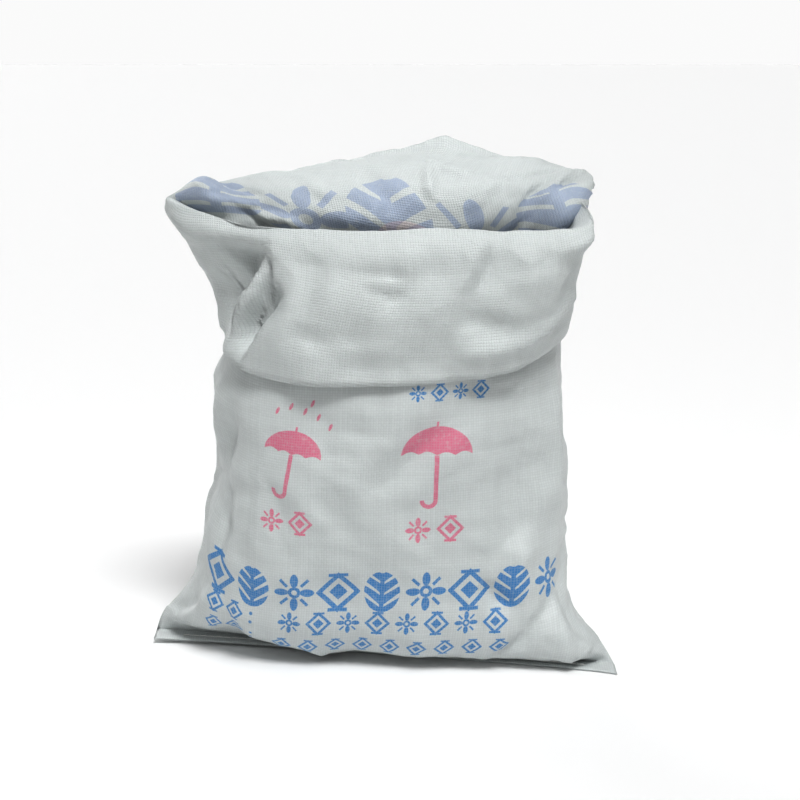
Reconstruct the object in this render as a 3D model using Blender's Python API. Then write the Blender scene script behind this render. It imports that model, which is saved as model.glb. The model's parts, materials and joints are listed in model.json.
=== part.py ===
"""A filled woven polypropylene sack, standing on its base with its mouth turned out.

Metres, +Z up, -Y to the viewer. The sack is a flat-woven tube, sewn shut along the
bottom. Its cloth is described by rings, from the bottom seam up over the rim and out
to the mouth. Each ring passes four points: the middle of the front panel, the middle
of the back panel and the two side creases. Between them it is a squared half ellipse
for each panel. Past the rim the front hangs down outside the sack as a cuff, and the
back stands up behind it.
"""

import math

import bmesh
import bpy
from mathutils import Vector

# Hem and cloth
HEM_LENGTH = 0.020
HEM_THICKNESS = 0.0030
HEM_SLOPE = 0.10
CLOTH_THICKNESS = 0.0012

# Clearances and levels
CONTACT_GAP = 0.0004
FILL_START = 0.060
FILL_LEVEL = 0.372
FLOOR = 0.0

# Resolution
PANEL_COLUMNS = 24
ROWS = 30
CLOSE_ROWS = 0.008
EAR_COLUMNS = 2
SECTION_STEPS = 12

# Sewing thread
THREAD_RADIUS = 0.0006
STITCH_LENGTH = 0.012
STITCH_WIDTH = 0.0016
THREAD_INSET = 0.013
THREAD_END = 0.030

# The rings of cloth from the seam to the mouth: share of the way,
# front middle, back middle, left crease, right crease, and how square it is at the
# front left, front right, back left and back right
RINGS = (
    # bottom seam
    (
        0.000,
        (0.005, -0.044, 0.0035),
        (0.005, -0.044, 0.0035),
        (-0.235, -0.014, 0.008),
        (0.235, -0.096, 0.003),
        (2.0, 2.0, 2.0, 2.0),
    ),
    # just above the seam
    (
        0.016,
        (0.005, -0.063, 0.0085),
        (0.005, -0.030, 0.000),
        (-0.228, -0.011, 0.016),
        (0.228, -0.084, 0.014),
        (2.6, 3.0, 3.0, 3.0),
    ),
    # front lifts off the hem
    (
        0.040,
        (0.005, -0.088, 0.013),
        (0.005, -0.010, -0.004),
        (-0.212, -0.008, 0.030),
        (0.216, -0.072, 0.030),
        (4.2, 3.6, 3.8, 3.8),
    ),
    # base
    (
        0.080,
        (0.005, -0.108, 0.036),
        (0.005, 0.026, -0.007),
        (-0.194, -0.006, 0.053),
        (0.201, -0.046, 0.050),
        (4.2, 4.0, 4.6, 4.6),
    ),
    # base and front corner
    (
        0.125,
        (0.005, -0.112, 0.072),
        (0.005, 0.072, -0.007),
        (-0.186, -0.004, 0.080),
        (0.194, -0.024, 0.076),
        (3.4, 3.4, 4.6, 4.6),
    ),
    # back corner of the base
    (
        0.170,
        (0.005, -0.114, 0.106),
        (0.005, 0.104, 0.010),
        (-0.181, 0.000, 0.110),
        (0.191, -0.010, 0.106),
        (2.9, 2.9, 4.0, 4.0),
    ),
    # above the base
    (
        0.220,
        (0.005, -0.115, 0.142),
        (0.005, 0.118, 0.048),
        (-0.177, 0.008, 0.146),
        (0.189, 0.004, 0.144),
        (2.6, 2.6, 3.2, 3.2),
    ),
    # lower body
    (
        0.300,
        (0.005, -0.114, 0.198),
        (0.005, 0.122, 0.128),
        (-0.174, 0.014, 0.198),
        (0.187, 0.012, 0.198),
        (2.5, 2.5, 2.5, 2.5),
    ),
    # middle of the body
    (
        0.400,
        (0.005, -0.109, 0.270),
        (0.005, 0.115, 0.230),
        (-0.166, 0.016, 0.268),
        (0.189, 0.016, 0.268),
        (2.4, 2.4, 2.4, 2.4),
    ),
    # upper body
    (
        0.480,
        (0.005, -0.099, 0.328),
        (0.005, 0.094, 0.310),
        (-0.151, 0.012, 0.325),
        (0.184, 0.012, 0.325),
        (2.4, 2.4, 2.4, 2.4),
    ),
    # below the powder's top
    (
        0.550,
        (0.006, -0.084, 0.376),
        (0.006, 0.060, 0.370),
        (-0.150, 0.006, 0.374),
        (0.180, 0.006, 0.378),
        (2.4, 2.6, 2.4, 2.4),
    ),
    # neck
    (
        0.610,
        (0.008, -0.071, 0.411),
        (0.008, 0.028, 0.422),
        (-0.154, 0.000, 0.418),
        (0.190, 0.000, 0.424),
        (2.3, 3.4, 2.6, 2.6),
    ),
    # below the rim
    (
        0.645,
        (0.010, -0.068, 0.427),
        (0.012, 0.012, 0.458),
        (-0.182, -0.002, 0.446),
        (0.205, -0.002, 0.458),
        (1.9, 4.0, 3.0, 3.0),
    ),
    # rim
    (
        0.665,
        (0.010, -0.072, 0.433),
        (0.018, 0.012, 0.472),
        (-0.209, 0.000, 0.460),
        (0.212, -0.003, 0.470),
        (1.7, 4.0, 3.2, 3.4),
    ),
    # just over the rim
    (
        0.685,
        (0.010, -0.082, 0.427),
        (0.024, 0.020, 0.479),
        (-0.214, 0.002, 0.452),
        (0.215, 0.000, 0.461),
        (1.8, 4.0, 3.6, 4.6),
    ),
    # top of the cuff
    (
        0.760,
        (0.010, -0.099, 0.393),
        (0.030, 0.032, 0.491),
        (-0.195, 0.008, 0.418),
        (0.210, 0.008, 0.424),
        (2.1, 3.6, 2.8, 4.6),
    ),
    # middle of the cuff
    (
        0.870,
        (0.010, -0.112, 0.345),
        (0.038, 0.043, 0.501),
        (-0.170, 0.016, 0.383),
        (0.203, 0.014, 0.388),
        (2.6, 2.8, 2.6, 4.6),
    ),
    # mouth
    (
        1.000,
        (0.010, -0.121, 0.292),
        (0.045, 0.054, 0.512),
        (-0.160, 0.020, 0.345),
        (0.197, 0.018, 0.352),
        (3.0, 2.2, 2.5, 4.2),
    ),
)

# Stretches that bend sharply and need closer rows, as (start, end) shares
TIGHT_BENDS = ((0.000, 0.048), (0.150, 0.210), (0.640, 0.700))

# Colours and surfaces: base colour, metallic, roughness
MATERIALS = {
    "woven_cloth": ((0.72, 0.78, 0.78, 1.0), 0.0, 0.45),
    "mineral_powder": ((0.80, 0.79, 0.76, 1.0), 0.0, 0.90),
    "sewing_thread": ((0.86, 0.86, 0.84, 1.0), 0.0, 0.60),
}


def clear_scene():
    for old in list(bpy.data.objects):
        bpy.data.objects.remove(old, do_unlink=True)


def make_material(name):
    colour, metallic, roughness = MATERIALS[name]
    material = bpy.data.materials.new(name)
    material.use_nodes = True
    material.diffuse_color = colour
    surface = material.node_tree.nodes["Principled BSDF"]
    surface.inputs["Base Color"].default_value = colour
    surface.inputs["Metallic"].default_value = metallic
    surface.inputs["Roughness"].default_value = roughness
    return material


def flatten(ring):
    """A ring's values without its share, as one list of numbers."""
    return [value for group in ring[1:] for value in group]


def ring_values(share):
    """Front, back, left, right and the four powers at one share, by a smooth curve."""
    shares = [ring[0] for ring in RINGS]
    last = len(RINGS) - 1
    k = max(0, min(last - 1, sum(1 for each in shares if each <= share) - 1))

    def rise(i):
        gap = shares[i + 1] - shares[i]
        return [(b - a) / gap for a, b in zip(flatten(RINGS[i]), flatten(RINGS[i + 1]))]

    def slope(i):
        if i in (0, last):
            return rise(min(i, last - 1))
        before = shares[i] - shares[i - 1]
        after = shares[i + 1] - shares[i]
        pairs = zip(rise(i - 1), rise(i))
        return [(a * after + b * before) / (before + after) for a, b in pairs]

    span = shares[k + 1] - shares[k]
    t = (share - shares[k]) / span
    weights = (
        2 * t**3 - 3 * t**2 + 1,
        span * (t**3 - 2 * t**2 + t),
        3 * t**2 - 2 * t**3,
        span * (t**3 - t**2),
    )
    columns = zip(flatten(RINGS[k]), slope(k), flatten(RINGS[k + 1]), slope(k + 1))
    values = [sum(w * each for w, each in zip(weights, column)) for column in columns]
    points = [Vector(values[i : i + 3]) for i in (0, 3, 6, 9)]
    return (*points, values[12:16])


def half_section(start, end, middle, exponents, columns):
    """Evenly spaced points from start to end, past middle, on a squared half ellipse.

    The two exponents say how square it is before and after the middle."""
    centre = (start + end) / 2
    steps = SECTION_STEPS * columns
    dense = []
    for k in range(steps + 1):
        turn = math.pi * k / steps
        exponent = exponents[0] if 2 * k < steps else exponents[1]
        across = -math.copysign(abs(math.cos(turn)) ** (2 / exponent), math.cos(turn))
        out = abs(math.sin(turn)) ** (2 / exponent)
        dense.append(centre + (end - start) * (across / 2) + (middle - centre) * out)
    travelled = [0.0]
    for a, b in zip(dense, dense[1:]):
        travelled.append(travelled[-1] + (b - a).length)
    points = []
    k = 0
    for column in range(columns + 1):
        wanted = travelled[-1] * column / columns
        while k < steps - 1 and travelled[k + 1] < wanted:
            k += 1
        share = (wanted - travelled[k]) / (travelled[k + 1] - travelled[k])
        points.append(dense[k].lerp(dense[k + 1], share))
    return points


def rest_on_floor(point):
    """Cloth that would reach through the floor lies flat on it."""
    return Vector((point.x, point.y, max(point.z, FLOOR)))


def posed_ring(share, columns):
    """One ring of cloth: left crease, front panel, right crease, back panel."""
    front_middle, back_middle, left, right, powers = ring_values(share)
    front = half_section(left, right, front_middle, powers[:2], columns)
    back = half_section(right, left, back_middle, (powers[3], powers[2]), columns)
    return [rest_on_floor(point) for point in front[:-1] + back[:-1]]


def row_shares():
    """Where the rows of faces are: even, and closer together along tight bends."""
    shares = [k / ROWS for k in range(ROWS + 1)]
    for low, high in TIGHT_BENDS:
        shares = [each for each in shares if not low - CLOSE_ROWS / 2 < each < high + CLOSE_ROWS / 2]
        count = round((high - low) / CLOSE_ROWS)
        shares += [low + (high - low) * k / count for k in range(count + 1)]
    return sorted(shares)


def seam_line(columns):
    """The bottom seam, from the left ear to the right ear."""
    middle, _, left, right, powers = ring_values(0.0)
    return half_section(left, right, middle, powers[:2], columns)


def hem_line(columns):
    """The free edge of the hem, which lies forward of the seam on the floor."""
    points = []
    for point in seam_line(columns):
        lowest = FLOOR + HEM_THICKNESS / 2
        height = max(lowest, point.z - HEM_LENGTH * HEM_SLOPE)
        points.append(Vector((point.x, point.y - HEM_LENGTH, height)))
    return points


def spread_line(line, thickness):
    """A line of points opened into a flat ring: the top side there, the bottom side back."""
    lift = Vector((0, 0, thickness / 2))
    top = [point + lift for point in line[1:-1]]
    bottom = [point - lift for point in line[1:-1]]
    return [line[0]] + top + [line[-1]] + bottom[::-1]


def join_rings(mesh, lower, upper):
    """Faces between two rings of vertices, facing out when the rings run as posed_ring does."""
    count = len(lower)
    for k in range(count):
        j = (k + 1) % count
        mesh.faces.new((lower[k], lower[j], upper[j]))
        mesh.faces.new((lower[k], upper[j], upper[k]))


def close_ring(mesh, ring):
    """A ring closed by faces from its front side to its back side."""
    count = len(ring)
    half = count // 2
    for k in range(half):
        corners = [ring[k], ring[(-k) % count], ring[(-k - 1) % count], ring[k + 1]]
        distinct = []
        for corner in corners:
            if corner not in distinct:
                distinct.append(corner)
        mesh.faces.new(distinct)


def object_from(mesh, name, material_name):
    bmesh.ops.triangulate(mesh, faces=mesh.faces[:])
    bmesh.ops.recalc_face_normals(mesh, faces=mesh.faces[:])
    data = bpy.data.meshes.new(name)
    mesh.to_mesh(data)
    mesh.free()
    data.shade_smooth()
    data.materials.append(make_material(material_name))
    thing = bpy.data.objects.new(name, data)
    bpy.context.scene.collection.objects.link(thing)
    return thing


def inset_rings(rings, depth):
    """Rings moved into the sack by depth, square to the cloth."""
    mesh = bmesh.new()
    corners = [[mesh.verts.new(point) for point in ring] for ring in rings]
    for lower, upper in zip(corners, corners[1:]):
        join_rings(mesh, lower, upper)
    mesh.normal_update()
    inset = [[vertex.co - vertex.normal * depth for vertex in ring] for ring in corners]
    mesh.free()
    return inset


def make_sack():
    """The cloth: a thin shell with an open mouth, and a flat hem below its bottom seam."""
    rings = [posed_ring(share, PANEL_COLUMNS) for share in row_shares()[1:]]
    insides = inset_rings(rings, CLOTH_THICKNESS)[1:]
    seam = seam_line(PANEL_COLUMNS)
    mesh = bmesh.new()

    def place(points):
        return [mesh.verts.new(point) for point in points]

    hem_ring = place(spread_line(hem_line(PANEL_COLUMNS), HEM_THICKNESS))
    seam_ring = place(spread_line(seam, HEM_THICKNESS))
    outer = [place(ring) for ring in rings]
    inner = [place(ring) for ring in insides]
    close_ring(mesh, hem_ring)
    join_rings(mesh, hem_ring, seam_ring)
    join_rings(mesh, seam_ring, outer[0])
    for lower, upper in zip(outer, outer[1:]):
        join_rings(mesh, lower, upper)
    join_rings(mesh, outer[-1], inner[-1])
    for lower, upper in zip(inner, inner[1:]):
        join_rings(mesh, lower, upper)

    # Inside, the two panels meet along the seam, above the hem, and the ears are solid
    lift = Vector((0, 0, HEM_THICKNESS / 2 + CLOTH_THICKNESS))
    first = EAR_COLUMNS
    last = PANEL_COLUMNS - EAR_COLUMNS
    ridge = place([point + lift for point in seam[first : last + 1]])
    ring = inner[0]
    for k in range(first, last):
        mesh.faces.new((ring[k + 1], ring[k], ridge[k - first], ridge[k + 1 - first]))
        mesh.faces.new((ring[-k], ring[-k - 1], ridge[k + 1 - first], ridge[k - first]))
    for k in range(-first, first):
        mesh.faces.new((ring[k + 1], ring[k], ridge[0]))
        mesh.faces.new((ring[PANEL_COLUMNS + k + 1], ring[PANEL_COLUMNS + k], ridge[-1]))
    return object_from(mesh, "woven_sack", "woven_cloth")


def keep_connected(mesh, seed):
    """Only the faces that can be reached from the seed vertex stay."""
    reached = {seed}
    waiting = [seed]
    while waiting:
        vertex = waiting.pop()
        for edge in vertex.link_edges:
            other = edge.other_vert(vertex)
            if other not in reached:
                reached.add(other)
                waiting.append(other)
    loose = [vertex for vertex in mesh.verts if vertex not in reached]
    bmesh.ops.delete(mesh, geom=loose, context="VERTS")


def make_filling():
    """The packed powder: it fills the sack from just above the seam to its level top."""
    shares = row_shares()[1:]
    rings = [posed_ring(share, PANEL_COLUMNS) for share in shares]
    mesh = bmesh.new()
    corners = []
    for share, ring in zip(shares, inset_rings(rings, CLOTH_THICKNESS + CONTACT_GAP)):
        if share >= FILL_START:
            corners.append([mesh.verts.new(point) for point in ring])
    close_ring(mesh, corners[0])
    for lower, upper in zip(corners, corners[1:]):
        join_rings(mesh, lower, upper)
    seed = corners[0][0]
    bmesh.ops.bisect_plane(
        mesh,
        geom=mesh.verts[:] + mesh.edges[:] + mesh.faces[:],
        plane_co=(0, 0, FILL_LEVEL),
        plane_no=(0, 0, 1),
        clear_outer=True,
    )
    keep_connected(mesh, seed)
    rim = [edge for edge in mesh.edges if edge.is_boundary]
    bmesh.ops.contextual_create(mesh, geom=rim)
    return object_from(mesh, "packed_powder", "mineral_powder")


def make_thread():
    """The thread of the hem: a shallow zigzag of chain stitches on its upper side."""
    seam = seam_line(PANEL_COLUMNS)
    hem = hem_line(PANEL_COLUMNS)
    share = THREAD_INSET / HEM_LENGTH
    line = [a.lerp(b, share) for a, b in zip(seam, hem)]
    travelled = [0.0]
    for a, b in zip(line, line[1:]):
        travelled.append(travelled[-1] + (b - a).length)
    lift = Vector((0, 0, HEM_THICKNESS / 2 + THREAD_RADIUS + CONTACT_GAP))
    count = round((travelled[-1] - 2 * THREAD_END) / STITCH_LENGTH)
    curve = bpy.data.curves.new("hem_thread", "CURVE")
    curve.dimensions = "3D"
    curve.bevel_depth = THREAD_RADIUS
    curve.bevel_resolution = 2
    curve.use_fill_caps = True
    spline = curve.splines.new("POLY")
    spline.points.add(2 * count)
    k = 0
    for i, point in enumerate(spline.points):
        wanted = THREAD_END + (travelled[-1] - 2 * THREAD_END) * i / (2 * count)
        while travelled[k + 1] < wanted:
            k += 1
        share = (wanted - travelled[k]) / (travelled[k + 1] - travelled[k])
        place = line[k].lerp(line[k + 1], share) + lift
        place.y += STITCH_WIDTH / 2 * (-1) ** i
        point.co = (*place, 1.0)
    curve.materials.append(make_material("sewing_thread"))
    thing = bpy.data.objects.new("hem_thread", curve)
    bpy.context.scene.collection.objects.link(thing)
    return thing


def main():
    clear_scene()
    make_sack()
    make_filling()
    make_thread()


main()
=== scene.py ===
"""Cloth, powder, stitches, print and a small studio for a filled woven sack."""

import json
import math

import bpy
import numpy as np
from bpy.props import FloatProperty, FloatVectorProperty, IntProperty, PointerProperty
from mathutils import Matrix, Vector, noise
from mathutils.bvhtree import BVHTree

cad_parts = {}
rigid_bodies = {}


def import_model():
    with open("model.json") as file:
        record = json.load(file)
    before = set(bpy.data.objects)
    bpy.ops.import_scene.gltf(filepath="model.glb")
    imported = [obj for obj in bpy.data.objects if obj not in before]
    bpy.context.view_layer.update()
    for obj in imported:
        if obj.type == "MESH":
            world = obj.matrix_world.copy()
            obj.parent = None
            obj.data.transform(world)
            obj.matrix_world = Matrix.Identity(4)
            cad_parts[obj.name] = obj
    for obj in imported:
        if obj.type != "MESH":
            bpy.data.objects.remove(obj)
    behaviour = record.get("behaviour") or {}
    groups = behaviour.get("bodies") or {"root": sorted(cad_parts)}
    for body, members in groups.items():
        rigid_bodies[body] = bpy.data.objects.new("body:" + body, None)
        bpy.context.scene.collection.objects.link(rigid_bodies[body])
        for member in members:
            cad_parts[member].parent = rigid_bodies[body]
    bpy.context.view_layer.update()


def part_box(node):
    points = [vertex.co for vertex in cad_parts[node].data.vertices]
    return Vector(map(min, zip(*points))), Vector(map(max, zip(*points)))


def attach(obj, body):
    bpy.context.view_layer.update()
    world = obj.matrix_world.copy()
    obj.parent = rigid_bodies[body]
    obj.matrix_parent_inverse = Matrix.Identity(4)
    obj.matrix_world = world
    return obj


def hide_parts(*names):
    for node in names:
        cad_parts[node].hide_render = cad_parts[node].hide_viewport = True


bl_info = {
    "name": "Woven Sack Dressing",
    "version": (1, 0, 0),
    "blender": (4, 5, 0),
    "location": "View3D > Sidebar > Sack",
    "description": "Cloth, powder, hem stitches, print and a small studio for a filled woven sack",
    "category": "Object",
}

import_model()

# The rings of cloth from the bottom seam to the mouth: share of the way,
# front middle, back middle, left crease, right crease, and how square it is at the
# front left, front right, back left and back right
RINGS = (
    (0.000, (0.005, -0.044, 0.0035), (0.005, -0.044, 0.0035),
     (-0.235, -0.014, 0.008), (0.235, -0.096, 0.003), (2.0, 2.0, 2.0, 2.0)),
    (0.016, (0.005, -0.063, 0.0085), (0.005, -0.030, 0.000),
     (-0.230, -0.011, 0.024), (0.228, -0.084, 0.014), (2.6, 3.0, 3.0, 3.0)),
    (0.040, (0.005, -0.088, 0.013), (0.005, -0.010, -0.004),
     (-0.219, -0.008, 0.042), (0.216, -0.072, 0.030), (4.2, 3.6, 3.8, 3.8)),
    (0.080, (0.005, -0.108, 0.036), (0.005, 0.026, -0.007),
     (-0.200, -0.006, 0.063), (0.201, -0.046, 0.050), (4.2, 4.0, 4.6, 4.6)),
    (0.125, (0.005, -0.112, 0.072), (0.005, 0.072, -0.007),
     (-0.187, -0.004, 0.086), (0.194, -0.024, 0.076), (3.4, 3.4, 4.6, 4.6)),
    (0.170, (0.005, -0.114, 0.106), (0.005, 0.104, 0.010),
     (-0.181, 0.000, 0.110), (0.191, -0.010, 0.106), (2.9, 2.9, 4.0, 4.0)),
    (0.220, (0.005, -0.115, 0.142), (0.005, 0.118, 0.048),
     (-0.177, 0.008, 0.146), (0.189, 0.004, 0.144), (2.6, 2.6, 3.2, 3.2)),
    (0.300, (0.005, -0.114, 0.198), (0.005, 0.122, 0.128),
     (-0.174, 0.014, 0.198), (0.187, 0.012, 0.198), (2.5, 2.5, 2.5, 2.5)),
    (0.400, (0.005, -0.109, 0.270), (0.005, 0.115, 0.230),
     (-0.166, 0.016, 0.268), (0.189, 0.016, 0.268), (2.4, 2.4, 2.4, 2.4)),
    (0.480, (0.005, -0.099, 0.328), (0.005, 0.094, 0.310),
     (-0.151, 0.012, 0.325), (0.184, 0.012, 0.325), (2.4, 2.4, 2.4, 2.4)),
    (0.550, (0.006, -0.084, 0.376), (0.006, 0.060, 0.370),
     (-0.150, 0.006, 0.374), (0.180, 0.006, 0.378), (2.4, 2.6, 2.4, 2.4)),
    (0.610, (0.008, -0.071, 0.411), (0.008, -0.010, 0.418),
     (-0.154, 0.000, 0.418), (0.184, 0.000, 0.424), (2.3, 4.6, 2.6, 3.0)),
    (0.645, (0.010, -0.068, 0.427), (0.012, -0.014, 0.452),
     (-0.182, -0.002, 0.446), (0.191, -0.006, 0.454), (1.9, 7.0, 3.0, 4.8)),
    (0.665, (0.010, -0.072, 0.433), (0.018, -0.004, 0.469),
     (-0.209, 0.000, 0.460), (0.195, -0.009, 0.465), (1.7, 8.0, 3.2, 5.4)),
    (0.685, (0.010, -0.082, 0.427), (0.024, 0.012, 0.480),
     (-0.214, 0.002, 0.452), (0.194, -0.007, 0.459), (1.8, 8.0, 3.6, 5.4)),
    (0.760, (0.010, -0.099, 0.393), (0.030, 0.032, 0.491),
     (-0.195, 0.008, 0.418), (0.195, 0.008, 0.430), (2.0, 5.6, 2.8, 4.6)),
    (0.870, (0.010, -0.112, 0.345), (0.038, 0.043, 0.501),
     (-0.170, 0.016, 0.383), (0.196, 0.014, 0.388), (2.7, 3.2, 2.6, 3.6)),
    (1.000, (0.010, -0.115, 0.292), (0.045, 0.054, 0.512),
     (-0.160, 0.020, 0.345), (0.195, 0.018, 0.352), (3.0, 2.4, 2.5, 2.7)),
)

# The sack's flat size, and the flat hem below its bottom seam
FLAT_WIDTH = 0.500
HEM_LENGTH = 0.020
HEM_THICKNESS = 0.0030
HEM_SLOPE = 0.10

# How closely rows follow each other, as (share, spacing against the widest)
ROW_SPACING = (
    (0.000, 0.6), (0.050, 0.8), (0.120, 0.9), (0.170, 0.7), (0.230, 1.0), (0.560, 1.0),
    (0.640, 0.6), (0.690, 0.5), (0.740, 0.9), (1.000, 1.0),
)

# Folds of the cloth, in centimetres on the flat cloth: from (across, along) to (across,
# along), half width, height and how sharp its ridge is. Heights are outwards from the
# sack, and on the turned-out parts of the mouth towards the viewer
FRONT_FOLDS = (
    (9.5, 33.5, -2.5, 20.5, 2.2, -0.50, 0.2), (5.8, 35.0, -6.0, 21.0, 2.0, 0.32, 0.2),
    (12.5, 33.0, 14.2, 15.5, 2.2, -0.50, 0.1), (18.4, 34.0, 18.6, 13.5, 1.3, 0.32, 0.6),
    (-15.3, 31.0, -18.9, 22.5, 1.1, -0.45, 0.4), (-18.4, 31.0, -21.2, 21.0, 1.2, 0.30, 0.4),
    (-18.6, 18.5, -21.0, 11.0, 2.2, 0.45, 0.2), (-16.6, 22.0, -17.4, 12.5, 0.9, -0.28, 0.6),
    (-13.0, 25.0, -14.6, 14.0, 1.0, -0.16, 0.5), (-6.5, 29.3, 2.0, 28.2, 0.5, -0.08, 0.8),
    (-10.5, 24.5, -6.0, 19.0, 1.2, 0.18, 0.4), (-2.5, 19.5, 4.5, 16.0, 1.6, 0.20, 0.3),
    (18.2, 11.5, 11.2, 3.8, 1.0, -0.42, 0.6), (17.6, 12.5, 19.8, 0.5, 0.9, 0.34, 0.6),
    (18.4, 10.0, 23.6, 1.5, 0.7, -0.20, 0.7), (14.4, 18.0, 11.8, 5.5, 1.1, 0.32, 0.6),
    (9.5, 13.5, 14.5, 8.5, 1.0, -0.20, 0.5), (-18.0, 10.5, -22.6, 1.0, 0.8, 0.24, 0.6),
    (-17.0, 12.0, -13.5, 3.0, 1.0, -0.30, 0.5), (-19.5, 9.0, -24.0, 3.0, 0.7, -0.20, 0.7),
    (-11.5, 9.0, -4.0, 3.5, 1.2, 0.16, 0.4), (1.0, 8.0, 8.0, 4.0, 1.0, -0.14, 0.4),
    (22.5, 34.0, 24.5, 20.0, 1.4, -0.35, 0.4), (-24.0, 33.0, -25.5, 18.0, 1.5, -0.35, 0.4),
    (-23.0, 46.0, -22.0, 33.0, 1.3, 0.35, 0.4), (22.0, 47.0, 21.0, 35.0, 1.2, 0.32, 0.4),
    (-12.0, 46.0, -11.0, 35.0, 1.4, -0.30, 0.3), (8.0, 46.0, 9.0, 36.0, 1.4, -0.30, 0.3),
    (0.0, 46.5, -1.0, 36.0, 1.5, 0.25, 0.3), (26.0, 17.0, 19.0, 8.0, 1.0, 0.26, 0.5),
    (-15.2, 49.0, -16.2, 34.5, 3.4, -1.40, 0.0),
)
CUFF_FOLDS = (
    (-4.4, 53.3, 0.6, 53.2, 0.6, -0.24, 0.5), (-3.8, 55.0, 0.8, 55.3, 0.6, -0.22, 0.5),
    (-4.0, 54.2, 0.6, 54.2, 0.4, 0.14, 0.6), (8.4, 49.0, 4.5, 56.0, 0.8, 0.28, 0.7),
    (9.8, 49.5, 6.2, 56.5, 1.0, -0.30, 0.3), (5.6, 57.0, 12.8, 59.4, 1.3, -0.50, 0.2),
    (6.0, 61.4, 13.5, 60.2, 0.9, 0.34, 0.6), (12.0, 60.8, 20.5, 57.5, 0.9, 0.40, 0.6),
    (-8.0, 62.6, 4.0, 62.0, 1.0, -0.26, 0.3), (-10.2, 60.0, -5.4, 60.8, 0.9, -0.28, 0.4),
    (-13.0, 51.8, -17.8, 61.2, 0.8, 0.50, 0.4), (-12.4, 55.5, -16.4, 62.6, 1.35, -2.00, 0.0),
    (-23.5, 58.4, -15.0, 58.0, 3.6, -1.00, 0.0),
    (-10.4, 53.5, -10.8, 64.0, 1.2, 0.28, 0.3), (14.2, 52.2, 21.0, 51.2, 0.6, 0.20, 0.6),
    (16.4, 52.5, 17.8, 61.0, 1.4, -0.30, 0.3), (-6.0, 50.5, -7.0, 59.5, 2.2, 0.20, 0.2),
    (2.6, 50.2, 1.6, 57.0, 1.8, -0.16, 0.3), (12.0, 51.0, 12.6, 58.0, 1.4, 0.16, 0.4),
    (-2.0, 56.5, -1.0, 61.5, 1.6, 0.16, 0.3), (-18.0, 49.5, -21.5, 56.0, 0.9, 0.12, 0.5),
    (19.5, 50.5, 23.0, 57.5, 1.0, -0.25, 0.4), (-20.5, 52.0, -18.5, 62.0, 0.8, -0.20, 0.5),
)
# Where one part of the cuff overlaps what lies to the left of the line, which is sunk
# the more the closer it is: from, to, how far the sinking reaches, and its depth
CUFF_STEPS = (
    (-13.2, 56.8, -13.0, 46.0, 3.6, 1.20), (-19.6, 60.8, -12.6, 50.0, 5.2, 2.00),
    (-15.4, 64.0, -11.8, 55.4, 1.6, 1.00),
)
BAND_FOLDS = (
    (-16.0, 43.0, -16.8, 58.0, 3.3, 1.45, 0.0), (17.2, 44.0, 17.8, 58.0, 2.4, 1.00, 0.0),
    (13.4, 54.2, 10.8, 58.2, 0.8, 0.50, 0.6), (11.8, 57.4, 8.6, 60.2, 0.8, 0.40, 0.6),
    (13.6, 51.8, 8.8, 57.6, 1.0, -0.50, 0.3), (-3.2, 72.0, -4.9, 66.0, 0.7, 0.34, 0.9),
    (-3.0, 71.6, -8.6, 69.6, 0.8, 0.28, 0.7), (-9.8, 69.2, -17.0, 65.4, 0.6, -0.28, 0.8),
    (-15.4, 56.4, -19.0, 63.2, 1.0, 0.60, 0.6), (-13.0, 58.5, -16.6, 64.5, 1.0, -0.34, 0.5),
    (18.4, 48.5, 12.0, 59.0, 0.7, 0.26, 0.7), (16.0, 48.0, 11.0, 60.5, 0.8, -0.24, 0.5),
    (9.0, 62.6, -12.0, 63.4, 1.2, 0.30, 0.3), (2.6, 62.0, 0.4, 66.0, 0.9, 0.30, 0.6),
    (-3.0, 58.0, -17.0, 56.5, 1.4, -0.26, 0.3), (5.0, 65.0, 9.5, 68.0, 1.0, 0.20, 0.6),
    (-1.0, 64.5, 3.0, 70.0, 1.4, -0.26, 0.5), (-8.0, 64.5, -12.0, 68.5, 1.2, 0.24, 0.5),
    (6.5, 57.0, 5.0, 63.0, 1.0, -0.20, 0.4), (-6.0, 57.0, -7.5, 63.0, 1.2, 0.20, 0.4),
    (19.0, 52.0, 15.0, 55.5, 0.6, 0.22, 0.6), (12.0, 62.0, 16.5, 58.0, 0.8, -0.24, 0.5),
)
BACK_FOLDS = (
    (-6.0, 42.0, -9.5, 18.0, 2.0, 0.40, 0.3), (5.0, 47.0, 8.5, 24.0, 2.2, -0.45, 0.3),
    (19.5, 7.5, 5.5, 17.0, 1.4, 0.36, 0.5), (18.5, 5.0, 4.0, 11.0, 1.2, -0.34, 0.5),
    (-19.5, 8.0, -6.0, 16.0, 1.4, 0.36, 0.5), (-18.0, 5.5, -3.0, 10.5, 1.2, -0.32, 0.5),
    (-14.0, 13.0, 12.0, 12.0, 1.0, -0.26, 0.4), (-15.0, 51.0, -13.0, 35.0, 1.3, -0.45, 0.4),
    (-8.5, 52.0, -7.0, 37.0, 1.1, 0.34, 0.5), (0.0, 53.0, 1.5, 39.0, 1.3, -0.40, 0.4),
    (8.5, 52.0, 7.5, 40.0, 1.1, 0.30, 0.5), (16.0, 51.0, 14.5, 34.0, 1.3, -0.45, 0.4),
    (-17.0, 32.0, -20.0, 18.0, 1.6, 0.34, 0.4), (17.5, 30.0, 20.5, 16.0, 1.6, 0.34, 0.4),
    (-2.0, 30.0, 3.0, 16.0, 1.8, 0.26, 0.3), (12.0, 26.0, 9.0, 14.0, 1.2, -0.24, 0.5),
    (-12.5, 28.0, -10.0, 15.0, 1.2, -0.24, 0.5), (-21.5, 48.0, -20.0, 36.0, 1.1, 0.34, 0.5),
    (21.5, 48.0, 20.5, 37.0, 1.1, 0.34, 0.5), (-4.0, 21.0, 6.0, 20.0, 0.9, -0.14, 0.5),
)

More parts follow.
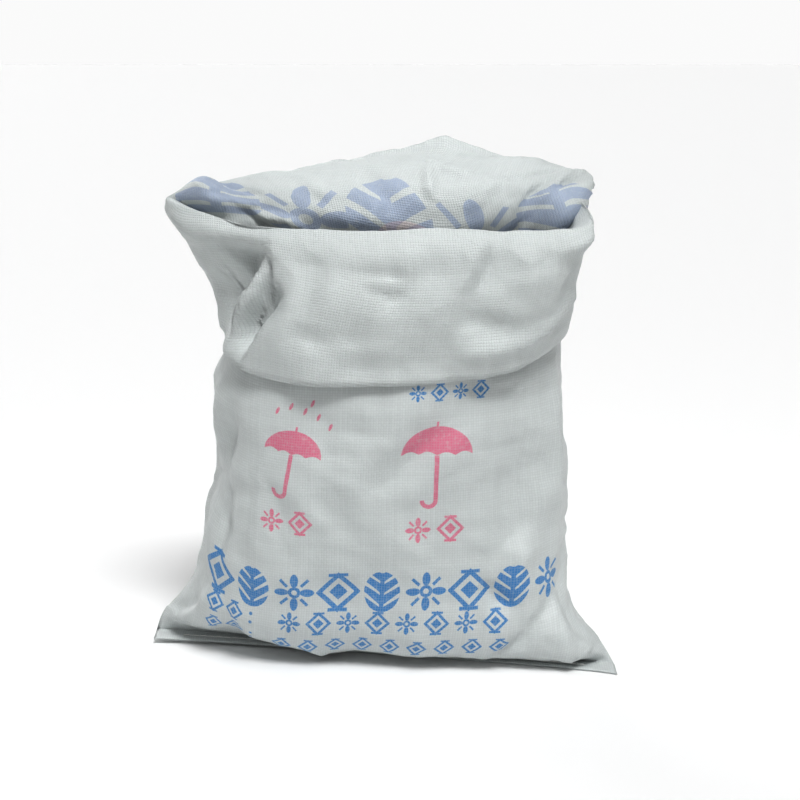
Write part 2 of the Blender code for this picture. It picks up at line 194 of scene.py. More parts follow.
# Fine creases and soft facets, all over: the size and height of each kind in metres, and
# the direction and the place in the noise of the two layers of each
CRUMPLES = ((0.110, 0.0060), (0.055, 0.0040), (0.026, 0.0016))
CRUMPLE_LAYERS = ((-1, Vector((7.3, 2.1, 11.7))), (1, Vector((3.9, 17.2, 5.4))))
FACETS = ((0.100, 0.0110), (0.045, 0.0036))
FACET_LAYERS = ((-1, Vector((1.3, 6.1, 2.7))), (0.6, Vector((5.9, 3.2, 9.4))))
FACET_MIDDLE = 0.3
# How far up the cloth is calmer near its foot, and how calm it is there; how much of
# the fine creases is taken away under the cuff and at the rim
LOW_DOWN = 0.03
CALM_LOW_DOWN = 0.4
CALM_UNDER_CUFF = 0.6

# What the heights of the listed folds are multiplied by
FOLD_STRENGTH = 1.8

# Between which shares of the way the body ends, the mouth is turned out, the cuff's
# steps set in, the rim's calmer stretch starts and ends, and the top edge is shaped
BODY_ENDS = (0.630, 0.665)
TURNED_OUT = (0.665, 0.700)
STEPS_SET_IN = (0.682, 0.742)
RIM_STARTS = (0.60, 0.65)
RIM_ENDS = (0.69, 0.74)
TOP_SHAPED = (0.74, 1.0)
# Between which metres along the flat cloth the back's band and the covered front start
BAND_STARTS = (0.47, 0.52)
COVERED_STARTS = (0.29, 0.33)
COVERED_ENDS = (0.60, 0.64)
# How near the seam and the floor the folds fade, and the top edge near the creases
SEAM_FADE = (0.004, 0.045)
FLOOR_FADE = (0.001, 0.012)
CREASE_FADE = (0.0, 0.04)

# How far the back panel's top edge is raised or sunk at each place across
TOP_EDGE = (
    (-0.130, -0.004), (-0.080, 0.006), (-0.031, -0.012), (0.020, -0.012), (0.066, 0.003),
    (0.113, -0.010), (0.159, -0.012), (0.190, 0.000),
)
# The least room between the body and the cuff that hangs over it, and their shares
CUFF_CLEARANCE = 0.004
BODY_TOP = 0.62
CUFF_TOP = 0.70

# The powder's room to the cloth, where it starts, its level as in the solids, the rings
# of its top, how much lower its edge and higher its middle are, and its lumps' size and
# height
POWDER_GAP = 0.0022
POWDER_START = 0.045
POWDER_LEVEL = round(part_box("packed_powder")[1].z, 6)
POWDER_TOP_SHARES = (0.950, 0.92, 0.88, 0.83, 0.77, 0.69, 0.60, 0.50, 0.40, 0.30, 0.20, 0.11, 0.04)
POWDER_EDGE_DROP = 0.004
POWDER_CROWN = 0.010
POWDER_LUMPS = ((0.055, 0.0055), (0.018, 0.0022), (0.006, 0.0008))

# How far the stitches lie from the seam, the bare hem at each end, how much longer than
# its share of the line a stitch is, and how far it slants
STITCH_INSET = 0.013
STITCH_END = 0.030
STITCH_OVERLAP = 0.54
STITCH_SLANT = 0.0004

# The print, in metres on the flat cloth. Umbrellas: across, along and half width. Rows:
# middle, height, pitch and half count, and beside them the size of their motifs
SMALL_UMBRELLA = (-0.090, 0.2660, 0.0290)
LARGE_UMBRELLA = (0.050, 0.2640, 0.0345)
UMBRELLA_TILT = -0.14
UMBRELLA_STEM = 1.28
DROPS = (
    (-0.106, 0.3075), (-0.093, 0.3125), (-0.079, 0.3085), (-0.066, 0.3030), (-0.072, 0.3165),
    (-0.054, 0.2935),
)
DROP_HALF_SIZE = (0.0016, 0.0034)
DROP_TILT = 0.35
PINK_ROW_PITCH = 0.0290
PINK_MOTIF = 0.0118
PINK_ROWS = ((-0.0955, 0.1990, 1.0), (0.0490, 0.1900, 1.1))
MAIN_ROW, MAIN_MOTIF = (0.0, 0.1270, 0.0430, 4.5), 0.0205
SECOND_ROW, SECOND_MOTIF = (0.0120, 0.0940, 0.0290, 4.0), 0.0118
THIRD_ROW, THIRD_MOTIF = (0.0120, 0.0660, 0.0270, 4.5), 0.0095
EDGE_ROW, EDGE_MOTIF = (0.0600, 0.3250, 0.0210, 2.0), 0.0085
BACK_ROW, BACK_MOTIF = (0.0, 0.6340, 0.0830, 2.5), 0.050
BACK_ROW_SAG = 3.3
# A pair of motifs and a pair of dots to the left of the second and third rows, and how
# much higher than their row the motifs are
SIDE_PAIR = (-0.1600, 0.0120)
SIDE_PAIR_LIFT = 0.002
SIDE_PAIR_MOTIF = 0.0100
SIDE_DOTS = (0.0310, 0.0045)
SIDE_DOT = 0.0018
# The disc below the back's row: across, along and half width
BACK_DISC = (-0.018, 0.612, 0.036)

# Soft light: the sky's strength and the brighter strip where the floor ends, as bright
# as the floor there, and each far lamp's name, direction, spread and strength
SKY_STRENGTH = 0.30
HORIZON_STRENGTH = 0.97
HORIZON_FADE = (0.03, 0.16)
VIEW_GAMMA = 0.75
SUNS = (
    ("key", (0.16, -0.44, 0.88), 20.0, 2.12),
    ("back", (-0.45, 0.75, 0.48), 45.0, 1.00),
)
# The soft lamp above the mouth: its place, width and power
TOP_LAMP_PLACE = Vector((0.12, -0.30, 1.10))
TOP_LAMP_WIDTH = 0.45
TOP_LAMP_POWER = 2.1

# The camera stands where the photographer's did
CAMERA_LENS = 70.0
CAMERA_SENSOR = 36.0
CAMERA_DISTANCE = 1.61
CAMERA_HEIGHT_ANGLE = math.radians(13.0)
CAMERA_TARGET = Vector((0.0205, 0.018, 0.2485))


class SackSizes(bpy.types.PropertyGroup):
    """Sizes of the cloth, the powder and the stitches."""

    panel_columns: IntProperty(
        name="Columns", description="Columns of cloth across each panel", default=120, min=12
    )
    rows: IntProperty(
        name="Rows", description="Rows of cloth from seam to mouth", default=188, min=20
    )
    cloth_thickness: FloatProperty(
        name="Cloth Thickness", description="Thickness of the woven cloth", default=0.0006, unit="LENGTH"
    )
    tape_width: FloatProperty(
        name="Tape Width", description="Width of one woven tape", default=0.0025, unit="LENGTH"
    )
    stitch_length: FloatProperty(
        name="Stitch Length", description="Length of one hem stitch", default=0.0085, unit="LENGTH"
    )
    thread_radius: FloatProperty(
        name="Thread Radius", description="Radius of the sewing thread", default=0.0006, unit="LENGTH"
    )


class SackColours(bpy.types.PropertyGroup):
    """Colours of the sack, its print and its contents."""

    cloth: FloatVectorProperty(
        name="Cloth", description="Colour of the woven tapes", subtype="COLOR", size=3,
        default=(0.620, 0.652, 0.650)
    )
    blue_ink: FloatVectorProperty(
        name="Blue Ink", description="Colour of the blue print", subtype="COLOR", size=3,
        default=(0.062, 0.250, 0.530)
    )
    pink_ink: FloatVectorProperty(
        name="Pink Ink", description="Colour of the pink print", subtype="COLOR", size=3,
        default=(0.680, 0.190, 0.295)
    )
    faded_blue: FloatVectorProperty(
        name="Faded Blue", description="The blue print seen through the cloth", subtype="COLOR", size=3,
        default=(0.265, 0.343, 0.522)
    )
    faded_pink: FloatVectorProperty(
        name="Faded Pink", description="The pink print seen through the cloth", subtype="COLOR", size=3,
        default=(0.716, 0.503, 0.522)
    )
    thread: FloatVectorProperty(
        name="Thread", description="Colour of the sewing thread", subtype="COLOR", size=3,
        default=(0.89, 0.89, 0.87)
    )
    powder: FloatVectorProperty(
        name="Powder", description="Colour of the mineral powder", subtype="COLOR", size=3,
        default=(0.83, 0.82, 0.79)
    )
    floor: FloatVectorProperty(
        name="Floor", description="Colour of the studio floor", subtype="COLOR", size=3,
        default=(0.92, 0.92, 0.92)
    )


class Value:
    """A node's output, on which Python's own operators add Math nodes."""

    def __init__(self, shader, socket):
        self.shader = shader
        self.socket = socket

    def maths(self, operation, *values):
        return self.shader.node("ShaderNodeMath", {"operation": operation}, dict(enumerate(values)))

    def __add__(self, other):
        return self.maths("ADD", self, other)

    def __radd__(self, other):
        return self.maths("ADD", other, self)

    def __sub__(self, other):
        return self.maths("SUBTRACT", self, other)

    def __rsub__(self, other):
        return self.maths("SUBTRACT", other, self)

    def __mul__(self, other):
        return self.maths("MULTIPLY", self, other)

    def __rmul__(self, other):
        return self.maths("MULTIPLY", other, self)

    def __truediv__(self, other):
        return self.maths("DIVIDE", self, other)

    def __rtruediv__(self, other):
        return self.maths("DIVIDE", other, self)

    def __pow__(self, other):
        return self.maths("POWER", self, other)

    def __lt__(self, other):
        return self.maths("LESS_THAN", self, other)

    def __abs__(self):
        return self.maths("ABSOLUTE", self)

    def floor(self):
        return self.maths("FLOOR", self)

    def fraction(self):
        return self.maths("FRACT", self)

    def lower(self, other):
        return self.maths("MINIMUM", self, other)

    def higher(self, other):
        return self.maths("MAXIMUM", self, other)

    def root(self):
        return self.maths("SQRT", self)

    def sine(self):
        return self.maths("SINE", self)

    def between(self, low, high):
        """0 up to low, 1 from high on, and a smooth rise between them."""
        settings = {"interpolation_type": "SMOOTHSTEP", "clamp": True}
        inputs = {"Value": self, "From Min": low, "From Max": high}
        return self.shader.node("ShaderNodeMapRange", settings, inputs)


class Shader:
    """The nodes of one new material, laid out from left to right as they are made."""

    def __init__(self, name):
        self.material = bpy.data.materials.new(name)
        self.material.use_nodes = True
        self.tree = self.material.node_tree
        self.surface = self.tree.nodes["Principled BSDF"]
        self.count = 0

    def node(self, kind, settings=None, inputs=None, output=0):
        """Adds one node: its settings first, then its sockets' values or links."""
        made = self.tree.nodes.new(kind)
        self.count += 1
        made.location = (-2400 + 40 * (self.count % 50), 300 - 60 * (self.count // 50))
        for name, value in (settings or {}).items():
            if name == "stops":
                self.set_stops(made.color_ramp, value)
            else:
                setattr(made, name, value)
        for key, value in (inputs or {}).items():
            self.feed(made.inputs[key], value)
        return Value(self, made.outputs[output])

    def feed(self, socket, value):
        if isinstance(value, Value):
            self.tree.links.new(value.socket, socket)
        else:
            socket.default_value = value

    def set_stops(self, ramp, stops):
        while len(ramp.elements) < len(stops):
            ramp.elements.new(0.5)
        for element, (place, colour) in zip(ramp.elements, stops):
            element.position = place
            element.color = colour

    def set(self, name, value):
        self.feed(self.surface.inputs[name], value)

    def mix(self, factor, first, second):
        """A colour between two colours, either of which may be linked."""
        first, second = ((*c, 1.0) if isinstance(c, tuple) and len(c) == 3 else c for c in (first, second))
        settings = {"data_type": "RGBA"}
        return self.node("ShaderNodeMix", settings, {0: factor, 6: first, 7: second}, output=2)

    def cloud(self, vector, scale, detail=2.0, roughness=0.5):
        inputs = {"Vector": vector, "Scale": scale, "Detail": detail, "Roughness": roughness}
        return self.node("ShaderNodeTexNoise", {}, inputs)

    def parts(self, vector):
        """A vector's x, y and z."""
        split = self.node("ShaderNodeSeparateXYZ", {}, {0: vector}).socket.node
        return [Value(self, split.outputs[k]) for k in range(3)]

    def vector(self, x, y, z=0.0):
        return self.node("ShaderNodeCombineXYZ", {}, {0: x, 1: y, 2: z})

    def bump(self, height, distance, strength=1.0, normal=None):
        inputs = {"Height": height, "Distance": distance, "Strength": strength}
        if normal is not None:
            inputs["Normal"] = normal
        return self.node("ShaderNodeBump", {}, inputs)


def deselect_all():
    for each in bpy.context.view_layer.objects:
        each.select_set(False)


def make_active(thing):
    deselect_all()
    thing.select_set(True)
    bpy.context.view_layer.objects.active = thing


def apply_modifiers(thing):
    make_active(thing)
    for modifier in list(thing.modifiers):
        bpy.ops.object.modifier_apply(modifier=modifier.name)


def object_from(name, points, faces):
    """A new mesh object from lists of points and faces, smooth-shaded."""
    data = bpy.data.meshes.new(name)
    data.from_pydata([tuple(point) for point in points], [], faces)
    data.shade_smooth()
    data.update()
    thing = bpy.data.objects.new(name, data)
    bpy.context.scene.collection.objects.link(thing)
    return thing


def ring_values(shares):
    """The rings' sixteen numbers at each share, by a smooth curve through RINGS."""
    known = np.array([ring[0] for ring in RINGS])
    values = np.array([[*sum(ring[1:5], ()), *ring[5]] for ring in RINGS])
    gaps = np.diff(known)[:, None]
    rises = np.diff(values, axis=0) / gaps
    slopes = np.concatenate([rises[:1], rises[:1], rises[1:]])
    slopes[1:-1] = (rises[:-1] * gaps[1:] + rises[1:] * gaps[:-1]) / (gaps[:-1] + gaps[1:])
    k = np.clip(np.searchsorted(known, shares, side="right") - 1, 0, len(known) - 2)
    span = gaps[k]
    t = (shares[:, None] - known[k][:, None]) / span
    return (
        (2 * t**3 - 3 * t**2 + 1) * values[k]
        + span * (t**3 - 2 * t**2 + t) * slopes[k]
        + (3 * t**2 - 2 * t**3) * values[k + 1]
        + span * (t**3 - t**2) * slopes[k + 1]
    )


def half_section(start, end, middle, exponents, columns):
    """Evenly spaced points from start to end, past middle, on a squared half ellipse."""
    centre = (start + end) / 2
    turn = np.linspace(0, math.pi, 12 * columns + 1)
    exponent = np.where(turn < math.pi / 2, *exponents)
    across = -np.sign(np.cos(turn)) * np.abs(np.cos(turn)) ** (2 / exponent)
    out = np.abs(np.sin(turn)) ** (2 / exponent)
    dense = centre + np.outer(across / 2, end - start) + np.outer(out, middle - centre)
    travelled = np.concatenate([[0], np.cumsum(np.linalg.norm(np.diff(dense, axis=0), axis=1))])
    wanted = np.linspace(0, travelled[-1], columns + 1)
    return np.stack([np.interp(wanted, travelled, dense[:, axis]) for axis in range(3)], axis=1)


def posed_rings(shares, columns):
    """Rings of points, each from the left crease over the front to the right crease and back."""
    rings = []
    for row in ring_values(np.asarray(shares, float)):
        front, back, left, right = row[0:3], row[3:6], row[6:9], row[9:12]
        near = half_section(left, right, front, (row[12], row[13]), columns)
        far = half_section(right, left, back, (row[15], row[14]), columns)
        ring = np.concatenate([near[:-1], far[:-1]])
        ring[:, 2] = np.maximum(ring[:, 2], 0.0)
        rings.append(ring)
    return np.array(rings)


def row_shares(rows):
    """Shares of the rows: even along the cloth, and closer where it bends sharply."""
    shares = np.linspace(0, 1, 601)
    rings = posed_rings(shares, 8)
    steps = np.linalg.norm(np.diff(rings, axis=0), axis=2).mean(axis=1)
    places, spacing = zip(*ROW_SPACING)
    middle = (shares[1:] + shares[:-1]) / 2
    count = np.concatenate([[0], np.cumsum(steps / np.interp(middle, places, spacing))])
    return np.interp(np.linspace(0, count[-1], rows + 1), count, shares)


def hem_rings(columns):
    """Flat rings of the hem, from its free edge on the floor up to the seam."""
    values = ring_values(np.array([0.0]))[0]
    seam = half_section(values[6:9], values[9:12], values[0:3], (values[12], values[13]), columns)
    rings = []
    for forward, thickness in ((1.0, 0.3), (0.96, 0.8), (0.75, 1.0), (0.5, 1.0), (0.25, 1.0), (0.0, 1.0)):
        line = seam.copy()
        line[:, 1] -= HEM_LENGTH * forward
        lowest = HEM_THICKNESS / 2
        line[:, 2] = np.maximum(line[:, 2] - HEM_LENGTH * HEM_SLOPE * forward, lowest)
        lift = np.array([0, 0, HEM_THICKNESS / 2 * thickness])
        rings.append(np.concatenate([line[:1], line[1:-1] + lift, line[-1:], (line[1:-1] - lift)[::-1]]))
    return np.array(rings)


def cloth_grid(sizes):
    """All rings of the cloth, hem included, and the share of the way of each."""
    columns = sizes.panel_columns
    hem = hem_rings(columns)
    shares = row_shares(sizes.rows)[1:]
    return np.concatenate([hem, posed_rings(shares, columns)]), np.concatenate([np.zeros(len(hem)), shares])


def flat_coordinates(grid, columns):
    """Where each point of each panel lies on the flat cloth, in metres: across and along.

    The front panel is centred on 0 and the back panel on twice the flat width."""
    steps = np.linalg.norm(np.diff(grid, axis=0), axis=2)
    along = np.concatenate([np.zeros((1, grid.shape[1])), np.cumsum(steps, axis=0)])
    along -= HEM_LENGTH
    closed = np.concatenate([grid, grid[:, :1]], axis=1)
    around = np.linalg.norm(np.diff(closed, axis=1), axis=2)
    across = np.zeros((grid.shape[0], 2, columns + 1))
    for panel in (0, 1):
        part = around[:, panel * columns : (panel + 1) * columns]
        total = np.concatenate([np.zeros((len(grid), 1)), np.cumsum(part, axis=1)], axis=1)
        across[:, panel] = total - total[:, -1:] / 2 + panel * 2 * FLAT_WIDTH
    return across, along


def cloth_faces(rows, columns):
    """Four-sided faces between the rings, and those that close the hem's free edge."""
    count = 2 * columns
    faces = []
    for k in range(rows - 1):
        for j in range(count):
            i = (j + 1) % count
            faces.append((k * count + j, k * count + i, (k + 1) * count + i, (k + 1) * count + j))
    for j in range(1, columns - 1):
        faces.append((j, count - j, count - j - 1, j + 1))
    faces.append((0, count - 1, 1))
    faces.append((columns - 1, columns + 1, columns))
    return faces


def set_flat_map(thing, grid, columns):
    """The UV map holds the flat cloth's metres, so the weave and print lie true on it."""
    across, along = flat_coordinates(grid, columns)
    data = thing.data
    layer = data.uv_layers.new(name="flat_cloth")
    count = 2 * columns
    for face in data.polygons:
        corners = list(face.vertices)
        around = [corner % count or count for corner in corners]
        back = max(around) > columns and min(around) >= columns
        for loop, corner in zip(face.loop_indices, corners):
            row, place = divmod(corner, count)
            if back:
                place = place if place else count
                u = across[row, 1, place - columns]
            else:
                u = across[row, 0, min(place, columns)]
            layer.data[loop].uv = (u, along[row, corner % count])


def beside_line(across, along, x0, y0, x1, y1, width):
    """How far along a line in centimetres each place lies, and how many widths beside it."""
    run, rise = x1 - x0, y1 - y0
    length = math.hypot(run, rise)
    right, up = across * 100 - x0, along * 100 - y0
    gone = np.clip((right * run + up * rise) / length**2, 0, 1)
    return gone, (right * rise - up * run) / length / width


def fold_lift(across, along, folds):
    """How far a list of folds lifts each place of the flat cloth, in metres."""
    lift = np.zeros_like(across)
    for *line, height, sharp in folds:
        gone, off = beside_line(across, along, *line)
        soft = np.exp(-(off**2))
        keen = np.maximum(0, 1.12 - np.sqrt(off**2 + 0.015))
        lift += height / 100 * np.sin(math.pi * gone) ** 0.7 * (soft + sharp * (keen - soft))
    return lift * FOLD_STRENGTH


def step_lift(across, along, steps):
    """How far the steps of a sheet that overlaps another sink it, in metres."""
    lift = np.zeros_like(across)
    for *line, depth in steps:
        gone, off = beside_line(across, along, *line)
        slope = np.where(off > 0, np.exp(-(off**2)), np.exp(-((off / 0.08) ** 2)))
        lift -= depth / 100 * np.sin(math.pi * gone**0.75) ** 0.6 * slope
    return lift


def crumple_lift(points):
    """Fine creases along the lines where a noise changes sign, and soft facets, in metres."""
    lift = np.zeros(len(points))
    for size, height in CRUMPLES:
        for sign, shift in CRUMPLE_LAYERS:
            values = [noise.noise(Vector(point) / size + shift) for point in points]
            lift += sign * height * np.abs(np.array(values))
    for size, height in FACETS:
        for sign, shift in FACET_LAYERS:
            places = [Vector(point) / size + shift for point in points]
            near = [noise.voronoi(place, distance_metric="DISTANCE_SQUARED")[0][0] for place in places]
            lift -= sign * height * (np.array(near) - FACET_MIDDLE)
    return lift


def surface_normals(grid):
    """The cloth's outward normals at each point of the rings."""
    around = np.roll(grid, -1, axis=1) - np.roll(grid, 1, axis=1)
    up = np.gradient(grid, axis=0)
    normals = np.cross(around, up)
    for _ in range(5):
        normals /= np.linalg.norm(normals, axis=2, keepdims=True) + 1e-9
        normals = normals + 0.5 * (np.roll(normals, 1, axis=1) + np.roll(normals, -1, axis=1))
    return normals / (np.linalg.norm(normals, axis=2, keepdims=True) + 1e-9)


def fold_cloth(grid, shares, columns):
    """The grid with its folds and fine creases."""
    across, along = flat_coordinates(grid, columns)
    front, back = across[:, 0], across[:, 1] - 2 * FLAT_WIDTH
    wide_front, wide_back = front[:, -1:], back[:, -1:]
    # Each panel's coordinate also runs on past its creases, on to the other panel
    beyond = back[:, 1:-1]
    past_front = np.where(beyond < 0, beyond + wide_back + wide_front, beyond - wide_back - wide_front)
    from_front = np.concatenate([front, past_front], axis=1)
    beyond = front[:, 1:-1]
    past_back = np.where(beyond > 0, beyond - wide_front - wide_back, beyond + wide_front + wide_back)
    from_back = np.concatenate([back[:, -1:], past_back, back[:, :-1]], axis=1)
    share = shares[:, None]
    body = 1 - smooth_step(share, *BODY_ENDS)
    turned = smooth_step(share, *TURNED_OUT)
    is_back = np.zeros(2 * columns)
    is_back[columns:] = 1.0
    band = smooth_step(along, *BAND_STARTS) * is_back
    outside = fold_lift(from_front, along, FRONT_FOLDS) + fold_lift(from_back, along, BACK_FOLDS)
    crumple = crumple_lift(grid.reshape(-1, 3)).reshape(along.shape)
    inside = fold_lift(from_front, along, CUFF_FOLDS) * (1 - is_back)
    inside += fold_lift(from_back, along, BAND_FOLDS) * is_back
    sunk = step_lift(from_front, along, CUFF_STEPS) * (1 - is_back) * smooth_step(share, *STEPS_SET_IN)
    lift = outside * body * (1 - band) - inside * np.maximum(turned, band) - sunk
    covered = smooth_step(along, *COVERED_STARTS) * (1 - smooth_step(share, *COVERED_ENDS)) * (1 - is_back)
    rim = smooth_step(share, *RIM_STARTS) * (1 - smooth_step(share, *RIM_ENDS))
    low_down = np.where(along < LOW_DOWN, CALM_LOW_DOWN, 1.0)
    lift += crumple * low_down * (1 - CALM_UNDER_CUFF * np.maximum(covered, rim))
    calm = smooth_step(along, *SEAM_FADE) * smooth_step(grid[:, :, 2], *FLOOR_FADE)
    folded = grid + surface_normals(grid) * (lift * calm)[:, :, None]
    edge = np.interp(folded[:, :, 0], *zip(*TOP_EDGE)) * is_back
    beside_crease = smooth_step(wide_back - abs(from_back), *CREASE_FADE)
    folded[:, :, 2] += edge * smooth_step(share, *TOP_SHAPED) * beside_crease
    folded[:, :, 2] = np.maximum(folded[:, :, 2], 0.0)
    hang_outside(folded, shares, columns)
    return folded


def hang_outside(grid, shares, columns):
    """Moves the turned-out cuff forward wherever it would touch the body behind it."""
    body = grid[shares < BODY_TOP]
    tree = BVHTree.FromPolygons(
        [Vector(point) for point in body.reshape(-1, 3)],
        cloth_faces(len(body), columns)[: (len(body) - 1) * 2 * columns],
    )
    for row in np.where(shares > CUFF_TOP)[0]:
        for point in grid[row, 1:columns]:
            start = Vector((point[0], -1.0, point[2]))
            hit = tree.ray_cast(start, Vector((0, 1, 0)))[0]
            if hit is not None and point[1] > hit.y - CUFF_CLEARANCE:
                point[1] = hit.y - CUFF_CLEARANCE


def smooth_step(values, low, high):
    t = np.clip((values - low) / (high - low), 0, 1)
    return t * t * (3 - 2 * t)


def make_cloth(sizes):
    grid, shares = cloth_grid(sizes)
    columns = sizes.panel_columns
    faces = cloth_faces(len(grid), columns)
    folded = fold_cloth(grid, shares, columns)
    cloth = object_from("sack_cloth", folded.reshape(-1, 3), faces)
    cloth["columns"] = columns
    set_flat_map(cloth, grid, columns)
    return cloth


def finish_cloth(cloth, sizes):
    """The cloth's thickness, whose inner wall has its own material."""
    wall = cloth.modifiers.new("wall", "SOLIDIFY")
    wall.thickness = sizes.cloth_thickness
    wall.offset = -1.0
    wall.material_offset = 1
    wall.material_offset_rim = 0
    apply_modifiers(cloth)


def lozenge(x, y, wide, high):
    """A field in metres, above 0 inside a lozenge of these half sizes."""
    return (1 - abs(x) / wide - abs(y) / high) * (wide * high / math.hypot(wide, high))


def oval(x, y, wide, high):
    return (1 - ((x / wide) * (x / wide) + (y / high) * (y / high)).root()) * min(wide, high)


def bar(x, y, wide, high):
    return (wide - abs(x)).lower(high - abs(y))


def band_of(field, half):
    """The outline of a field, of twice this width."""
    return half - abs(field)


def umbrella(x, y, half, stem):
    """An open umbrella with its middle at the canopy's edge and a hooked handle."""
    scallop = 0.10 * half * abs((x * (2 * math.pi / half)).sine())
    canopy = oval(x, y, half, 0.80 * half).lower(y - scallop * 0.9)
    tip = bar(x, y - 0.84 * half, 0.0011, 0.0032)
    pole = bar(x, y + stem / 2, 0.0021, stem / 2)
    reach = 0.0068
    from_hook = ((x + reach) * (x + reach) + (y + stem) * (y + stem)).root() - reach
    hook = band_of(from_hook, 0.0021).lower((0 - stem) - y)
    return canopy.higher(tip).higher(pole).higher(hook)


def leaf_sprig(x, y, size):
    """A stalk with three pairs of raised leaves."""
    stalk = bar(x, y, 0.10 * size, 0.95 * size)
    along = ((y - abs(x) * 0.75) / (0.58 * size) + 0.35).fraction() - 0.5
    leaves = 0.19 * size - abs(along) * (0.58 * size) * 0.8 - abs(x) * 0.06
    return stalk.higher(leaves.lower(oval(x, y, 0.86 * size, 1.02 * size)))


def framed_lozenge(x, y, size):
    """A lozenge in a lozenge frame, between two short bars."""
    frame_line = band_of(lozenge(x, y, 0.92 * size, 0.92 * size), 0.11 * size)
    heart = lozenge(x, y, 0.44 * size, 0.44 * size)
    ends = bar(x, abs(y) - 0.92 * size, 0.46 * size, 0.09 * size)
    return frame_line.higher(heart).higher(ends)


def petal_flower(x, y, size):
    """Four petals round a ring, with short rays between them."""
    side = oval(abs(x) - 0.62 * size, y, 0.34 * size, 0.19 * size)
    up = oval(x, abs(y) - 0.62 * size, 0.19 * size, 0.34 * size)
    ring = band_of((x * x + y * y).root() - 0.22 * size, 0.08 * size)
    turned_x, turned_y = (x + y) * 0.7071, (x - y) * 0.7071
    rays = bar(abs(turned_x) - 0.70 * size, turned_y, 0.24 * size, 0.075 * size)
    others = bar(turned_x, abs(turned_y) - 0.70 * size, 0.075 * size, 0.24 * size)
    return side.higher(up).higher(ring).higher(rays).higher(others)


def motif_row(across, along, row, size, kinds):
    """Motifs of alternating kinds, evenly spaced in a row: middle, height, pitch, half count."""
    middle, height, pitch, half_count = row
    place = (across - middle) / pitch + half_count
    x = (place.fraction() - 0.5) * pitch
    y = along - height
    number = place.floor()
    field = kinds[0](x, y, size)
    if len(kinds) > 1:
        turn = (number / len(kinds)).fraction() * len(kinds)
        for k, kind in enumerate(kinds[1:], 1):
            chosen = abs(turn - k) < 0.5
            field = field + (kind(x, y, size) - field) * chosen
    inside = half_count * pitch - abs(across - middle)
    return field.lower(inside)


def back_print(across, along):
    """The back panel's fields: a bold blue row near the mouth, and a pink disc below it."""
    x = across - 2 * FLAT_WIDTH
    sagging = along + x * x * BACK_ROW_SAG
    blue = motif_row(x, sagging, BACK_ROW, BACK_MOTIF, (leaf_sprig, petal_flower))
    across_disc, along_disc, half = BACK_DISC
    disc = oval(x - across_disc, along - along_disc, half, half * 0.7)
    return blue, disc


def front_print(across, along):
    """The front panel's fields: the blue rows, and the pink umbrellas with their rows."""
    blue = motif_row(across, along, MAIN_ROW, MAIN_MOTIF, (framed_lozenge, leaf_sprig, petal_flower))
    blue = blue.higher(motif_row(across, along, SECOND_ROW, SECOND_MOTIF, (petal_flower, framed_lozenge)))
    blue = blue.higher(motif_row(across, along, THIRD_ROW, THIRD_MOTIF, (framed_lozenge,)))
    beside = across - SIDE_PAIR[0]
    dots_across, dots_along = SIDE_DOTS
    for _, height, _, _ in (SECOND_ROW, THIRD_ROW):
        above = along - height
        pair = framed_lozenge(abs(beside) - SIDE_PAIR[1], above - SIDE_PAIR_LIFT, SIDE_PAIR_MOTIF)
        dots = oval(beside - dots_across, abs(above) - dots_along, SIDE_DOT, SIDE_DOT)
        blue = blue.higher(pair).higher(dots)
    blue = blue.higher(motif_row(across, along, EDGE_ROW, EDGE_MOTIF, (petal_flower, framed_lozenge)))
    pink = None
    for middle, base, half in (SMALL_UMBRELLA, LARGE_UMBRELLA):
        x, y = across - middle, along - base
        if half < LARGE_UMBRELLA[2]:
            x, y = x + y * UMBRELLA_TILT, y - x * UMBRELLA_TILT
        one = umbrella(x, y, half, UMBRELLA_STEM * half)
        pink = one if pink is None else pink.higher(one)
    for u, v in DROPS:
        x, y = across - u, along - v
        pink = pink.higher(oval(x - y * DROP_TILT, y, *DROP_HALF_SIZE))
    for middle, height, scale in PINK_ROWS:
        row = (middle, height, PINK_ROW_PITCH * scale, 1.0)
        motifs = motif_row(across, along, row, PINK_MOTIF * scale, (petal_flower, framed_lozenge))
        pink = pink.higher(motifs)
    return blue, pink


class Weave:
    """The plain weave of flat tapes on the flat cloth: its relief and each tape's tone."""

    def __init__(self, shader, tape):
        self.uv = shader.node("ShaderNodeUVMap", {"uv_map": "flat_cloth"})
        self.across, self.along, _ = shader.parts(self.uv)
        wander = shader.cloud(self.uv, 30.0) * 0.3
        a = self.across / tape + wander
        b = self.along / tape + wander
        self.crosswise = ((a.floor() + b.floor()) / 2).fraction() * 2
        edge_a, edge_b = abs(a.fraction() - 0.5) * 2, abs(b.fraction() - 0.5) * 2
        lengthwise = (1 - edge_a**6) * (1 - 0.55 * edge_b * edge_b)
        crossing = (1 - edge_b**6) * (1 - 0.55 * edge_a * edge_a)
        self.height = lengthwise + (crossing - lengthwise) * self.crosswise
        tone_a = self.tape_tone(shader, a.floor())
        tone_b = self.tape_tone(shader, b.floor() + 0.37)
        self.tone = tone_a + (tone_b - tone_a) * self.crosswise

    def tape_tone(self, shader, number):
        """A number of its own for each tape, between 0 and 1."""
        return shader.node("ShaderNodeTexWhiteNoise", {"noise_dimensions": "1D"}, {"W": number})


def worn(shader, weave, field, wear):
    """Ink that covers where the field is above 0, thin in the grooves and speckled."""
    ragged = shader.cloud(weave.uv, 900.0, 1.0) - 0.5
    edge = (field + ragged * 0.0007).between(-0.00035, 0.00035)
    blotches = shader.cloud(weave.uv, 260.0, 3.0).between(0.28, 0.52)
    return edge * (1 - wear * (1 - blotches)) * (1 - 0.35 * (1 - weave.height))


